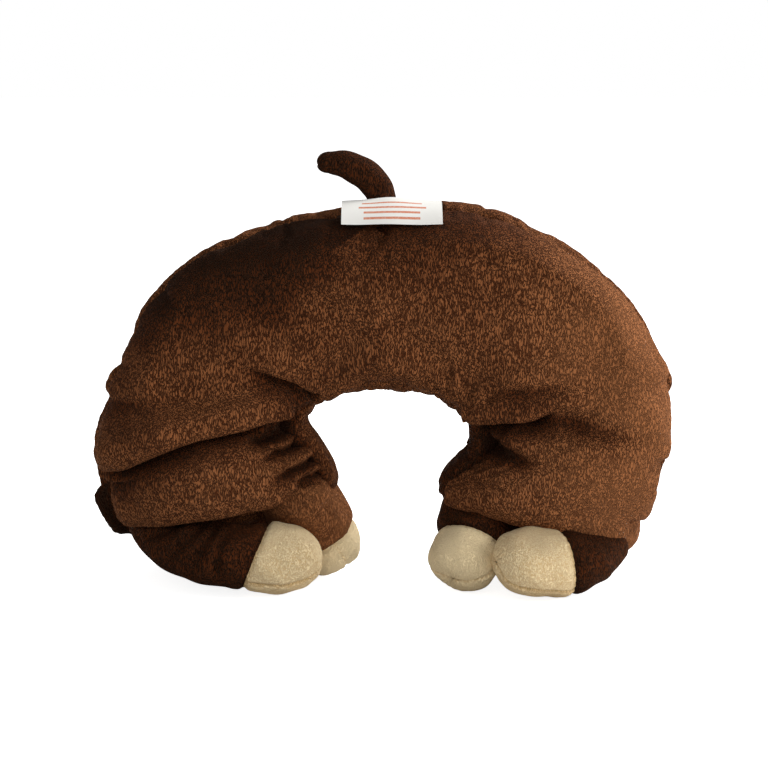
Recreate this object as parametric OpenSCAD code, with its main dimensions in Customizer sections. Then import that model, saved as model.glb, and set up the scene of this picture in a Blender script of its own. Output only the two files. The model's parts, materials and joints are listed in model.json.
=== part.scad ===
// Monkey neck pillow: a horseshoe-shaped plush bag of loose beads that stands on its two ends.
// +X is to the right seen from the monkey's back, +Y is towards its face, +Z is up.
// The origin is on the floor, under the middle of the whole toy.

/* [Fabric] */
// Thickness of the plush cover
cover_t = 0.8; // [0.6:0.1:0.8]
// Thickness of the inner liner
liner_t = 0.25; // [0.2:0.05:0.25]
// Free gap between two layers
layer_gap = 0.1; // [0.05:0.05:0.1]

/* [Flexing arms] */
// Widest spread of one arm, away from the other
spread_max = 20; // [10:1:20]
// Tightest squeeze of one arm, towards the other
squeeze_max = 8; // [4:1:8]

/* [Limbs] */
// Radius of a stuffed paw
paw_r = 18.5; // [17.5:0.5:18.5]
// Length of a paw, from ankle seam to tip
paw_len = 38; // [36:1:40]
// Radius of a limb at its ankle seam
ankle_r = 15.5; // [14:0.5:16]
// Radius of a limb where it is sewn on
root_r = 9.5; // [8:0.5:10]

/* [Tail] */
// Radius of the tail
tail_r = 7.3; // [6.5:0.1:7.5]
// Radius that the tail curls round
tail_curl_r = 17; // [15:1:19]
// How far round the tail curls, in degrees
tail_curl = 98; // [80:1:100]

/* [Head] */
// Radius of the round head
head_r = 46; // [42:1:46]
// Half of the head's depth
head_half_depth = 28; // [24:1:28]
// Height of the head's centre
head_z = 144; // [142:1:145]
// Radius of the pale face panel
face_r = 34; // [30:1:36]
// Radius of the muzzle
muzzle_r = 22; // [20:1:23]
// Radius of an ear
ear_r = 15; // [13:1:16]
// Radius of a safety eye
eye_r = 4.5; // [4:0.5:5]

/* [Label] */
// Width of the sewn-in label
label_w = 51; // [40:1:52]
// How far round the crown the label hangs, in degrees from the seam
label_hang = 41; // [34:1:46]
// Thickness of the label's ribbon
label_t = 0.4; // [0.3:0.1:0.5]

/* [Hidden] */
brown = [0.30, 0.17, 0.10];
cream = [0.82, 0.72, 0.54];
white = [0.93, 0.93, 0.91];
black = [0.05, 0.04, 0.04];
thread_pink = [0.45, 0.25, 0.18];

// ---- the horseshoe bag ----
// One row per cross-section, from the left end over the crown to the right end:
// outer seam x and z, inner seam x and z, middle y, half depth.
sections = [
    [-106, 0.3, -88, 0.3, 20, 9],
    [-120, 7, -77, 8, 20, 18],
    [-132, 18, -66, 22, 18, 26],
    [-141, 34, -50, 43, 12, 34],
    [-147, 53, -29, 59, 2, 43],
    [-150, 75, -33, 73, 0, 44],
    [-143, 117, -40, 86, 0, 43],
    [-110, 168, -34, 96, 0, 41],
    [-54, 197, -20, 102, 0, 40],
    [0, 203, 0, 104, 0, 39],
    [56, 197, 22, 102, 0, 40],
    [112, 167, 35, 95, 0, 41],
    [143, 121, 42, 85, 0, 43],
    [150, 79, 37, 71, 0, 44],
    [147, 54, 31, 57, 2, 43],
    [140, 34, 58, 41, 12, 34],
    [130, 18, 68, 22, 18, 26],
    [119, 7, 78, 8, 20, 18],
    [106, 0.3, 88, 0.3, 20, 9]
];
ring_n = 16;              // points round a cross-section
half_n = ring_n / 2;      // steps across one panel, from seam to seam
row_step = 0.5;           // rows of the table from one drawn cross-section to the next
last_row = len(sections) - 1;
crown_row = last_row / 2;
flex_row = 6.5;           // each arm bends about the middle of this row, counted from its own end
fullness = 0.9;           // power that squares the oval sections a little
liner_in = cover_t + layer_gap;
beads_in = liner_in + liner_t + layer_gap;
swing_room = 0.5;         // spare degrees at each end of an arm's travel
bend_gap = 0.25;          // half of the gap between two masses of beads, at the bending line

// Smooth curve through the rows of a table, at a row number that may be a fraction.
function smooth(rows, s) =
    let (
        last = len(rows) - 1,
        i = min(max(floor(s), 0), last - 1),
        f = s - i,
        a = rows[max(i - 1, 0)],
        b = rows[i],
        c = rows[i + 1],
        d = rows[min(i + 2, last)]
    )
    0.5 * (2 * b + (c - a) * f + (2 * a - 5 * b + 4 * c - d) * f * f + (3 * b - a - 3 * c + d) * f * f * f);

function full(v) = sign(v) * pow(abs(v), fullness);
function reach_of(r) = norm([r[0] - r[2], r[1] - r[3]]) / 2;

// The ring at table row s, set in by the layers outside it. Point 0 is on the outer seam, and
// the first half of the points is the back panel's.
function ring(s, inset) =
    let (
        r = smooth(sections, s),
        w = reach_of(r),
        u = [r[0] - r[2], r[1] - r[3]] / (2 * w),
        lift = (s <= 0 || s >= last_row) ? inset : 0
    )
    [for (k = [0:ring_n - 1])
        let (a = 360 * k / ring_n, along = full(cos(a)) * (w - inset))
        [
            (r[0] + r[2]) / 2 + u[0] * along,
            r[4] - (r[5] - inset) * full(sin(a)),
            (r[1] + r[3]) / 2 + u[1] * along + lift
        ]
    ];

// The blunt wedge that a mass of beads ends in at a bending line: the ring at row s, drawn back
// towards row next by an angle on its outer side and another on its inner side.
function wedge(s, next) =
    let (a = ring(s, beads_in), b = ring(next, beads_in), w = reach_of(smooth(sections, s)) - beads_in)
    [for (k = [0:ring_n - 1])
        let (
            along = full(cos(360 * k / ring_n)) * w,
            angle = (along > 0 ? spread_max : squeeze_max) / 2 + swing_room
        )
        a[k] + (b[k] - a[k]) * (bend_gap + abs(along) * tan(angle)) / norm(b[k] - a[k])];

function joined(lists) = [for (l = lists) for (p = l) p];
function backwards(list) = [for (k = [len(list) - 1:-1:0]) list[k]];
function flipped(faces) = [for (f = faces) [f[2], f[1], f[0]]];
function shifted(faces, n) = [for (f = faces) f + [n, n, n]];

// Two triangles between rows a and b of a grid, on its points j and k.
function square_of(a, b, j, k) = [[a + j, b + j, b + k], [a + j, b + k, a + k]];

// Triangles that close a ring from its back half to its front half, in strips across it.
function zipped(n) = concat(
    [[0, 1, n - 1], [n / 2 - 1, n / 2, n / 2 + 1]],
    [for (k = [1:n / 2 - 2]) each [[k, k + 1, n - k - 1], [k, n - k - 1, n - k]]]
);

// A closed solid through a list of rings with the same number of points.
module loft(rings) {
    n = len(rings[0]);
    m = len(rings);
    sides = [for (i = [0:m - 2]) for (k = [0:n - 1]) each square_of(i * n, (i + 1) * n, k, (k + 1) % n)];
    finish = shifted(flipped(zipped(n)), (m - 1) * n);
    polyhedron(points = joined(rings), faces = concat(sides, zipped(n), finish), convexity = 6);
}

// One sewn panel of the bag, between two depths under its outside. Its first point is 0 for the
// back panel and half_n for the front one. The panel's rim is its seam allowance.
module panel(first, outside, inside) {
    m = last_row / row_step + 1;
    cols = half_n + 1;
    points = [for (inset = [outside, inside]) for (i = [0:m - 1])
        let (r = ring(i * row_step, inset)) for (j = [0:half_n]) r[(first + j) % ring_n]];
    skin = [for (i = [0:m - 2]) for (j = [0:half_n - 1]) each square_of(i * cols, (i + 1) * cols, j, j + 1)];
    start = [for (j = [1:half_n - 1]) [0, j, j + 1]];
    outer = concat(skin, start, shifted(flipped(start), (m - 1) * cols));
    inner = m * cols;
    rim = concat(
        [for (i = [0:m - 2]) each square_of(0, inner, i * cols, (i + 1) * cols)],
        [for (i = [0:m - 2]) each flipped(square_of(0, inner, i * cols + half_n, (i + 1) * cols + half_n))],
        flipped(square_of(0, inner, 0, half_n)),
        square_of(0, inner, (m - 1) * cols, m * cols - 1)
    );
    polyhedron(points = points, faces = concat(outer, shifted(flipped(outer), inner), rim), convexity = 6);
}

seam_gap = 0.03;          // each panel's rim stands this far from the middle of the seam
module back_panel(outside, inside) { translate([0, seam_y - seam_gap, 0]) panel(0, outside, inside); }
module front_panel(outside, inside) { translate([0, seam_y + seam_gap, 0]) panel(half_n, outside, inside); }

module cover_back() { color(brown) back_panel(0, cover_t); }
module cover_front() { color(brown) front_panel(0, cover_t); }
module liner_back() { color(white) back_panel(liner_in, liner_in + liner_t); }
module liner_front() { color(white) front_panel(liner_in, liner_in + liner_t); }

// The loose beads are three masses that meet at the two bending lines.
module beads(rings) { color(white) translate([0, seam_y, 0]) loft(rings); }
module beads_crown() {
    last_flex = last_row - flex_row;
    beads(concat(
        [wedge(flex_row, flex_row + row_step)],
        [for (s = [flex_row + row_step:row_step:last_flex - row_step]) ring(s, beads_in)],
        [wedge(last_flex, last_flex - row_step)]
    ));
}
module beads_arm_left() {
    beads(concat(
        [for (s = [0:row_step:flex_row - row_step]) ring(s, beads_in)],
        [wedge(flex_row, flex_row - row_step)]
    ));
}
module beads_arm_right() {
    beads(concat(
        [wedge(last_row - flex_row, last_row - flex_row + row_step)],
        [for (s = [last_row - flex_row + row_step:row_step:last_row]) ring(s, beads_in)]
    ));
}

// ---- limbs: a brown sleeve, a two-piece pale paw, and stuffing ----
// Each limb runs straight from where it is sewn on to the middle of its paw.
foot_left = [[-108, -27, 24], [-53, -31, 18]];
foot_right = [[114, -28, 23], [79, -39, 18]];
hand_left = [[-45, 11, 33], [-30, 29, 18]];
hand_right = [[46, 5, 33], [42, -18, 18]];
curve_steps = 8;
limb_fn = 40;

paw_widest = 0.45;        // how far along a paw it is widest, as a share of its length
function paw_start(limb) = norm(limb[1] - limb[0]) - paw_len / 2;
// Radius and distance along the limb, for its sleeve and then its paw, set in by inset.
function sleeve_line(limb, inset) =
    let (ankle = paw_start(limb))
    concat(
        [for (k = [0:curve_steps]) let (a = 90 * k / curve_steps)
            [(root_r - inset) * sin(a), -(root_r - inset) * cos(a)]],
        [for (k = [1:curve_steps]) let (f = k / curve_steps)
            [root_r + (ankle_r - root_r) * f * f * (3 - 2 * f) - inset, ankle * f]]
    );
function paw_line(limb, inset) =
    let (ankle = paw_start(limb), widest = paw_len * paw_widest, tip = paw_len - widest)
    concat(
        [for (k = [0:curve_steps - 1]) let (f = k / curve_steps)
            [ankle_r + (paw_r - ankle_r) * sin(90 * f) - inset, ankle + widest * f]],
        [for (k = [0:curve_steps]) let (a = 90 * k / curve_steps)
            [(paw_r - inset) * cos(a), ankle + widest + (tip - inset) * sin(a)]]
    );
module on_limb(limb) {
    d = limb[1] - limb[0];
    translate(limb[0] + [0, seam_y, 0]) rotate([0, acos(d[2] / norm(d)), atan2(d[1], d[0])]) children();
}
slab = [400, 400, 20];    // larger than the toy, to cut off what would reach under the floor
module above_floor() {
    difference() {
        children();
        translate([-slab[0] / 2, -slab[1] / 2, -slab[2]]) cube(slab);
    }
}
module sleeve(limb) {
    color(brown) on_limb(limb) rotate_extrude($fn = limb_fn)
        polygon(concat(sleeve_line(limb, 0), backwards(sleeve_line(limb, cover_t))));
}
// Half of a paw's cover. The sole is the half that faces down.
module paw_half(limb, turn) {
    color(cream) above_floor() on_limb(limb) rotate([0, 0, turn - 90])
        rotate_extrude(angle = 180, $fn = limb_fn)
            polygon(concat(paw_line(limb, 0), backwards(paw_line(limb, cover_t))));
}
module paw_top(limb) { paw_half(limb, 180); }
module sole(limb) { paw_half(limb, 0); }
module stuffing(limb) {
    color(white) above_floor() on_limb(limb) rotate_extrude($fn = limb_fn)
        polygon(concat(sleeve_line(limb, liner_in), paw_line(limb, liner_in)));
}

// ---- tail: a curled tube with a round tip, sewn into the top seam behind the label ----
crown = smooth(sections, crown_row);
tail_root_r = 5;          // its sewn end is gathered to this radius
tail_base = [-2, tail_r + 0.5, crown[1] + tail_root_r + 0.4];
tail_steps = 10;
tail_fills = 0.4;         // how far round the curl it reaches its full radius
tail_straight = 6;        // the last straight stretch before the tip
tip_steps = 4;
tip_end = 84;             // a round end is drawn to this angle, and closed with a small flat
tail_n = 16;

// A ring at turn degrees round the curl, moved ahead along it.
function tail_ring(r, turn, ahead) =
    let (
        x = -tail_curl_r * (1 - cos(turn)) - ahead * sin(turn),
        z = tail_curl_r * sin(turn) + ahead * cos(turn)
    )
    [for (k = [0:tail_n - 1]) let (a = 360 * k / tail_n)
        tail_base + [x + r * cos(a) * cos(turn), seam_y - r * sin(a), z + r * cos(a) * sin(turn)]];
function tail_rings(inset) =
    let (r = tail_r - inset, root = tail_root_r - inset)
    concat(
        [for (k = [tip_steps:-1:1]) let (a = tip_end * k / tip_steps)
            tail_ring(root * cos(a), 0, -root * sin(a))],
        [for (k = [0:tail_steps]) let (f = k / tail_steps)
            tail_ring(root + (tail_r - tail_root_r) * min(1, f / tail_fills), tail_curl * f, 0)],
        [for (k = [0:tip_steps]) let (a = tip_end * k / tip_steps)
            tail_ring(r * cos(a), tail_curl, tail_straight + r * sin(a))]
    );
module tail_sleeve() { color(brown) loft(concat(backwards(tail_rings(0)), tail_rings(cover_t))); }
module tail_stuffing() { color(white) loft(backwards(tail_rings(liner_in))); }

// ---- label: a ribbon sewn into the top seam, that hangs down over the back of the crown ----
label_x = 4;              // the label's middle, a little to the right of the toy's
label_lift = [1.2, 4];    // how far it stands off the crown at its seam and at its hem
label_steps = 14;
label_start = 3;          // the label's sewn edge, in degrees from the seam
function label_line(t) = [for (k = [0:label_steps])
    let (
        f = k / label_steps,
        a = label_start + (label_hang - label_start) * f,
        lift = label_lift[0] + (label_lift[1] - label_lift[0]) * f + t,
        half_h = (crown[1] - crown[3]) / 2
    )
    [crown[4] - (crown[5] + lift) * sin(a), crown[3] + half_h + (half_h + lift) * cos(a)]];
module label() {
    color(white) translate([label_x - label_w / 2, seam_y, 0]) rotate([90, 0, 90]) linear_extrude(label_w)
        polygon(concat(label_line(0), backwards(label_line(label_t))));
}

// ---- head: a round, stuffed disc that faces away from the bag ----
head_gap = 2.5;           // between the bag and the back of the head, so that it can nod
head_y = crown[5] + head_gap + head_half_depth;
head_fn = 64;
profile_step = 5;
// Points of an oval profile between two latitudes, -90 being its back and 90 its face.
function oval(r, d, from, to) = [for (a = [from:profile_step:to]) [r * cos(a), d * sin(a)]];
module at_head(offset = [0, 0, 0]) {
    translate([0, seam_y + head_y, head_z] + offset) rotate([-90, 0, 0]) children();
}
module head_shell(from, to) {
    at_head() rotate_extrude($fn = head_fn) polygon(concat(
        oval(head_r, head_half_depth, from, to),
        backwards(oval(head_r - cover_t, head_half_depth - cover_t, from, to))
    ));
}
module head_solid(grow) {
    at_head() rotate_extrude($fn = head_fn) polygon(oval(head_r + grow, head_half_depth + grow, -90, 90));
}
face_edge = profile_step * round(acos(face_r / head_r) / profile_step);
eye_at = [14, 10];          // sideways and up from the head's centre
eye_dome = 0.9;             // an eye's height as a share of its radius
eye_sunk = 1.5;             // from the face down to the widest part of an eye
stem_r = 1.2;
stem_len = 8;
stem_clear = 0.01;          // keeps the stem whole where the face is cut away from the eye
washer_r = 3;
washer_t = 1;
washer_up = 2;              // from the stem's end to the washer
hole_room = 0.15;
bore = 40;                  // longer than any hole is deep
function face_depth(x, z) = head_half_depth * sqrt(1 - (x * x + z * z) / (head_r * head_r));
eye_depth = face_depth(eye_at[0], eye_at[1]);
module at_eye(side, depth) { at_head([side * eye_at[0], depth, eye_at[1]]) children(); }

module head_back() { color(brown) head_shell(-90, 0); }
module head_front() { color(brown) head_shell(0, face_edge); }
module face_panel() {
    color(cream) difference() {
        head_shell(face_edge, 90);
        for (side = [-1, 1]) at_eye(side, 0) cylinder(h = bore, r = stem_r + hole_room, $fn = 24);
    }
}
module head_stuffing() {
    color(white) difference() {
        head_solid(-liner_in);
        for (side = [-1, 1]) at_eye(side, eye_depth - stem_len - washer_t)
            cylinder(h = bore, r = washer_r + hole_room, $fn = 24);
    }
}
module eye(side) {
    color(black) difference() {
        at_eye(side, eye_depth - stem_len) union() {
            cylinder(h = stem_len + 1, r = stem_r, $fn = 24);
            translate([0, 0, stem_len - eye_sunk]) rotate_extrude($fn = 32)
                polygon(concat([[0, 0]], oval(eye_r, eye_r * eye_dome, 0, 90)));
        }
        difference() {
            head_solid(layer_gap);
            at_eye(side, 0) cylinder(h = bore, r = stem_r + stem_clear, $fn = 24);
        }
    }
}
module eye_washer(side) {
    color(white) at_eye(side, eye_depth - stem_len + washer_up) difference() {
        cylinder(h = washer_t, r = washer_r, $fn = 32);
        translate([0, 0, -1]) cylinder(h = washer_t + 2, r = stem_r + hole_room, $fn = 24);
    }
}

// The muzzle is a second, smaller pillow on the lower part of the face.
muzzle_at = [0, 20, -15];   // from the head's centre
muzzle_depth = 18;
module muzzle_solid(grow) {
    at_head(muzzle_at) rotate_extrude($fn = head_fn)
        polygon(oval(muzzle_r + grow, muzzle_depth + grow, -90, 90));
}
module muzzle_panel() {
    color(cream) difference() {
        muzzle_solid(0);
        muzzle_solid(-cover_t);
        head_solid(layer_gap);
    }
}
module muzzle_stuffing() {
    color(white) difference() {
        muzzle_solid(-liner_in);
        head_solid(layer_gap);
    }
}
nose_r = 4.5;
nose_up = 9;
nose_depth = 3;
nose_root = 2;              // how deep the nose reaches back towards the muzzle before it is cut to fit
function muzzle_front(r) = muzzle_at[1] + muzzle_depth * sqrt(1 - r * r / (muzzle_r * muzzle_r));
nose_set_in = 1;            // how far the nose's widest part lies under the muzzle
nose_y = head_y + muzzle_front(nose_up) - nose_set_in + nose_depth;
module nose() {
    color(black) difference() {
        at_head([0, muzzle_front(nose_up) - nose_set_in, muzzle_at[2] + nose_up]) rotate_extrude($fn = 32)
            polygon(concat([[0, -nose_root]], oval(nose_r, nose_depth, -30, 90)));
        muzzle_solid(layer_gap);
    }
}

// The seam's own y, which puts the origin midway from the hindmost paw to the nose.
seam_y = (paw_r - foot_right[1][1] - nose_y) / 2;

smile_r = 12;
smile_proud = 1.6;          // how far the thread's middle stands off the muzzle, in thread radii
smile_turn = 110;           // how far round the muzzle the mouth runs, in degrees
thread_r = 0.6;
module mouth_stitch() {
    color(thread_pink) at_head([0, muzzle_front(smile_r) + thread_r * smile_proud, muzzle_at[2]])
        rotate([0, 0, 90 - smile_turn / 2]) rotate_extrude(angle = smile_turn, $fn = 48)
            translate([smile_r, 0]) circle(thread_r, $fn = 16);
}

// ---- ears: two flat pads, each of a brown back and a pale front, sewn on along a straight edge ----
ear_half_t = 3.2;
ear_root = 1.5;             // from the head's widest point to the ear's edge
ear_up = 6;
ear_middle = 0.75;          // from the sewn edge to the ear's middle, as a share of its radius
ear_keep = [40, 40, 70];    // a box round all of an ear that isn't cut off
module ear_half(side, from, to, inner_r) {
    reach = head_r + ear_root;
    intersection() {
        at_head([side * (reach + ear_r * ear_middle), 0, ear_up]) rotate_extrude($fn = 48)
            polygon(concat([[0, 0]], oval(inner_r, ear_half_t, from, to)));
        at_head([side * (reach + ear_keep[0] / 2), 0, 0]) rotate([90, 0, 0]) cube(ear_keep, center = true);
    }
}
module ear_back(side) { color(brown) translate([0, -layer_gap / 2, 0]) ear_half(side, -90, 0, ear_r); }
module ear_front(side) { color(cream) translate([0, layer_gap / 2, 0]) ear_half(side, 0, 90, ear_r); }

cover_back();
cover_front();
liner_back();
liner_front();
beads_crown();
beads_arm_left();
beads_arm_right();
sleeve(foot_left);  // foot_left_sleeve
paw_top(foot_left);  // foot_left_paw_top
sole(foot_left);  // foot_left_sole
stuffing(foot_left);  // foot_left_stuffing
sleeve(foot_right);  // foot_right_sleeve
paw_top(foot_right);  // foot_right_paw_top
sole(foot_right);  // foot_right_sole
stuffing(foot_right);  // foot_right_stuffing
sleeve(hand_left);  // hand_left_sleeve
paw_top(hand_left);  // hand_left_paw_top
sole(hand_left);  // hand_left_sole
stuffing(hand_left);  // hand_left_stuffing
sleeve(hand_right);  // hand_right_sleeve
paw_top(hand_right);  // hand_right_paw_top
sole(hand_right);  // hand_right_sole
stuffing(hand_right);  // hand_right_stuffing
tail_sleeve();
tail_stuffing();
label();
head_back();
head_front();
face_panel();
head_stuffing();
muzzle_panel();
muzzle_stuffing();
nose();
mouth_stitch();
eye(-1);  // eye_left
eye(1);  // eye_right
eye_washer(-1);  // eye_washer_left
eye_washer(1);  // eye_washer_right
ear_back(-1);  // ear_left_back
ear_front(-1);  // ear_left_front
ear_back(1);  // ear_right_back
ear_front(1);  // ear_right_front
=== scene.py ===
import json
import math
import bpy
import numpy as np
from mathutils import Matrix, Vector


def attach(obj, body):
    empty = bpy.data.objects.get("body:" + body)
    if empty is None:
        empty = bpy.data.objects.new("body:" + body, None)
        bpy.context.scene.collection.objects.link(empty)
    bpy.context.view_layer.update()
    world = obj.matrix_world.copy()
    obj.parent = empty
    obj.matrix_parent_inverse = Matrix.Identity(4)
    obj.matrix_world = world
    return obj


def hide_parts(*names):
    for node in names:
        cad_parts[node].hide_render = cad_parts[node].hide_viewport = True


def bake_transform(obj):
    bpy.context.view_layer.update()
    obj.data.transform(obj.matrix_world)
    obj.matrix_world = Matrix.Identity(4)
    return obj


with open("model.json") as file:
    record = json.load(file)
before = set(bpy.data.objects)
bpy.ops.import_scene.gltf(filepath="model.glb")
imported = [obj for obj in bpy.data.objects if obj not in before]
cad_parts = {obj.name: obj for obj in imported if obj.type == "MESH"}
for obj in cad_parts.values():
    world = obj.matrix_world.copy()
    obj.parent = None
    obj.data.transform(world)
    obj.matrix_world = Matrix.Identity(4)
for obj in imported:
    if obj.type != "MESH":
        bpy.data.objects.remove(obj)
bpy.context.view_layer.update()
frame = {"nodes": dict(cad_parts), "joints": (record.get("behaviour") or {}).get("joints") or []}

# ---- Where the toy is looked at from ----
# A plain white sweep, one broad soft lamp high on the right and behind, a weak fill from the front,
# and a long lens a little above the toy. Lengths below are in millimetres, in the toy's own frame,
# with y counted from the seam plane between the bag's two panels.
hinge_at = {joint["name"]: joint["pos_m"] for joint in frame["joints"]}
seam_y = hinge_at["arm_left_flex"][1]
mm = 0.001
look_at = Vector((0.0, seam_y, 0.106))
look_down = math.radians(10.5)
stand_off = 1.05


def placed(name, data):
    """A new object of the data, linked into the scene."""
    made = bpy.data.objects.new(name, data)
    bpy.context.collection.objects.link(made)
    return made


def set_inputs(made, **values):
    """Sets a node's inputs by name, with _ for each space."""
    for key, value in values.items():
        made.inputs[key.replace("_", " ")].default_value = value


def new_material(name):
    """A new material, its node tree and its shader."""
    made = bpy.data.materials.new(name)
    made.use_nodes = True
    return made, made.node_tree, made.node_tree.nodes["Principled BSDF"]


camera = placed("camera", bpy.data.cameras.new("camera"))
camera.location = look_at + stand_off * Vector((0, -math.cos(look_down), math.sin(look_down)))
camera.rotation_euler = (math.radians(90) - look_down, 0, 0)
camera.data.sensor_width = 36
camera.data.lens = 94.2
camera.data.clip_start = 0.05
bpy.context.scene.camera = camera
bpy.context.scene.view_settings.view_transform = "Standard"

world = bpy.data.worlds.new("white_sweep")
bpy.context.scene.world = world
world.use_nodes = True
nodes, links = world.node_tree.nodes, world.node_tree.links
nodes.clear()
path = nodes.new("ShaderNodeLightPath")
seen = nodes.new("ShaderNodeBackground")
lighting = nodes.new("ShaderNodeBackground")
either = nodes.new("ShaderNodeMixShader")
out = nodes.new("ShaderNodeOutputWorld")
set_inputs(seen, Color=(1, 1, 1, 1), Strength=1.0)
set_inputs(lighting, Color=(1, 0.99, 0.97, 1), Strength=0.34)
links.new(path.outputs["Is Camera Ray"], either.inputs[0])
links.new(lighting.outputs[0], either.inputs[1])
links.new(seen.outputs[0], either.inputs[2])
links.new(either.outputs[0], out.inputs["Surface"])


def lamp(name, place, watts, width, height, colour=(1, 1, 1)):
    """A rectangular lamp of width by height metres at place, turned to face the middle of the toy."""
    data = bpy.data.lights.new(name, "AREA")
    data.shape = "RECTANGLE"
    data.size, data.size_y = width, height
    data.energy = watts
    data.color = colour
    obj = placed(name, data)
    obj.location = place
    obj.rotation_euler = (look_at - Vector(place)).to_track_quat("-Z", "Y").to_euler()


lamp("key_lamp", (1.15, 0.75, 1.2), 40, 0.8, 0.8, (1.0, 0.975, 0.94))
lamp("side_lamp", (1.5, -0.75, 0.75), 12, 0.7, 0.7, (1.0, 0.97, 0.93))
lamp("front_fill", (-0.5, -1.9, 0.9), 7, 1.4, 1.0, (1.0, 0.99, 0.97))

square = bpy.data.meshes.new("floor")
square.from_pydata([(-6, -6, 0), (6, -6, 0), (6, 6, 0), (-6, 6, 0)], [], [(0, 1, 2, 3)])
floor = placed("floor", square)
paper, tree, shader = new_material("white_paper")
path = tree.nodes.new("ShaderNodeLightPath")
glow = tree.nodes.new("ShaderNodeMath")
glow.operation = "MULTIPLY"
glow.inputs[1].default_value = 0.85
tree.links.new(path.outputs["Is Camera Ray"], glow.inputs[0])
tree.links.new(glow.outputs[0], shader.inputs["Emission Strength"])
set_inputs(shader, Base_Color=(0.86, 0.86, 0.86, 1), Roughness=0.9, Emission_Color=(1, 1, 1, 1))
square.materials.append(paper)

# ---- The bag ----
# Two plush panels sewn edge to edge into a horseshoe and filled with loose beads, so it stands on its
# two ends. The crown's weight folds the arms, and both seams are gathered where the cloth is eased in.
# Each row is one cross-section, from the left end over the crown to the right end: outer seam x, z,
# inner seam x, z, middle y, half depth, and how far each seam is turned towards the back, in degrees.
bag_rows = np.array([
    [-106, 0.3, -88, 0.3, 20, 9, 0, 0],
    [-121, 7, -75, 8, 20, 18, 0, 0],
    [-135, 19, -58, 21, 19, 26, 10, 8],
    [-146, 36, -33.5, 39, 13, 35, 18, 16],
    [-148.5, 54, -24.3, 57, 3, 43, 9, 24],
    [-150.6, 79, -30.5, 73, 0, 44, 2, 24],
    [-140.8, 113.5, -39.5, 86, 0, 43, 3, 22],
    [-108.5, 163.6, -34.5, 95.3, 0, 41, 5, 14],
    [-54, 191, -20, 100.6, 0, 40, 5, 6],
    [0, 199.5, 0, 102.2, 0, 39, 5, 4],
    [54, 196, 22, 100.6, 0, 40, 5, 6],
    [111, 164.9, 36, 93.8, 0, 41, 4, 14],
    [143.8, 120, 43, 84.8, 0, 43, 1, 22],
    [150.5, 79, 42, 71, 0, 44, -2, 22],
    [146.3, 54, 28, 55, 2, 43, -2, 22],
    [140.5, 34, 38, 38, 10, 36, -2, 16],
    [132.5, 17, 60, 20, 16, 27, 0, 8],
    [118, 7, 78, 8, 20, 18, 0, 0],
    [106, 0.3, 88, 0.3, 20, 9, 0, 0],
], dtype=float)
bag_fullness = 0.9   # 1 is an oval section, less is squarer
floor_gap = 0.3
puff = 3.6   # the beads blow the cloth out about this far, so it starts smaller


def through(rows, s):
    """Catmull-Rom curve: between two rows, the cubic whose slope at each row is half the difference of its
    neighbours. s is a row number that may be a fraction."""
    flat = rows.reshape(len(rows), -1)
    i = np.clip(np.floor(s).astype(int), 0, len(rows) - 2)
    f = (s - i)[:, None]
    a, b = flat[np.maximum(i - 1, 0)], flat[i]
    c, d = flat[i + 1], flat[np.minimum(i + 2, len(rows) - 1)]
    curve = 2 * b + (c - a) * f + (2 * a - 5 * b + 4 * c - d) * f**2 + (3 * b - a - 3 * c + d) * f**3
    return (curve / 2).reshape((len(s),) + rows.shape[1:])


def squared(v, power):
    """Sign of v times its size to a power: squares an oval off where the power is under 1."""
    return np.sign(v) * np.abs(v) ** power


def horseshoe(s, t):
    """Oval sections strung along the rows: the middle between the seams, plus half the reach times the
    squared cosine along the line between them, minus half the depth times the squared sine along y.
    t is 0 at the outer seam, 0.5 at the inner one, with the back panel first."""
    r = through(bag_rows, s)[:, None, :]
    outer_turn, inner_turn = np.radians(r[..., 6]), np.radians(r[..., 7])
    back = outer_turn + (np.pi - inner_turn - outer_turn) * 2 * t
    front = np.pi - inner_turn + (np.pi + inner_turn + outer_turn) * (2 * t - 1)
    angle = np.where(t <= 0.5, back, front)
    reach = np.hypot(r[..., 0] - r[..., 2], r[..., 1] - r[..., 3])
    slack = np.minimum(puff / reach, 0.1)
    across = squared(np.cos(angle), bag_fullness) / 2 * (1 - slack * np.where(np.cos(angle) > 0, 2, 1.1))
    x = (r[..., 0] + r[..., 2]) / 2 + (r[..., 0] - r[..., 2]) * across
    z = (r[..., 1] + r[..., 3]) / 2 + (r[..., 1] - r[..., 3]) * across
    y = r[..., 4] - (r[..., 5] - 0.6 * puff) * squared(np.sin(angle), bag_fullness)
    return np.stack([x, y, z], -1)


def outward(grid):
    """Unit normals of a grid of points: the cross product of its slopes round and along it."""
    along, round_ = np.gradient(grid, axis=0), np.gradient(grid, axis=1)
    n = np.cross(round_, along)
    return n / np.maximum(np.linalg.norm(n, axis=-1, keepdims=True), 1e-9)


def outward_round(grid):
    """The same for a grid that closes round its columns."""
    return outward(np.concatenate([grid[:, -1:], grid, grid[:, :1]], 1))[:, 1:-1]


def even_steps(rows, count):
    """Row numbers spaced by equal length of the line midway between the first two columns and the next."""
    fine = np.linspace(0, len(rows) - 1, 2000)
    p = through(rows, fine)
    moved = np.diff(p[:, :4], axis=0)
    step = np.hypot(moved[:, 0], moved[:, 1]) + np.hypot(moved[:, 2], moved[:, 3]) + 0.02
    gone = np.concatenate([[0], np.cumsum(step)])
    return np.interp(np.linspace(0, gone[-1], count), gone, fine)


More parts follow.
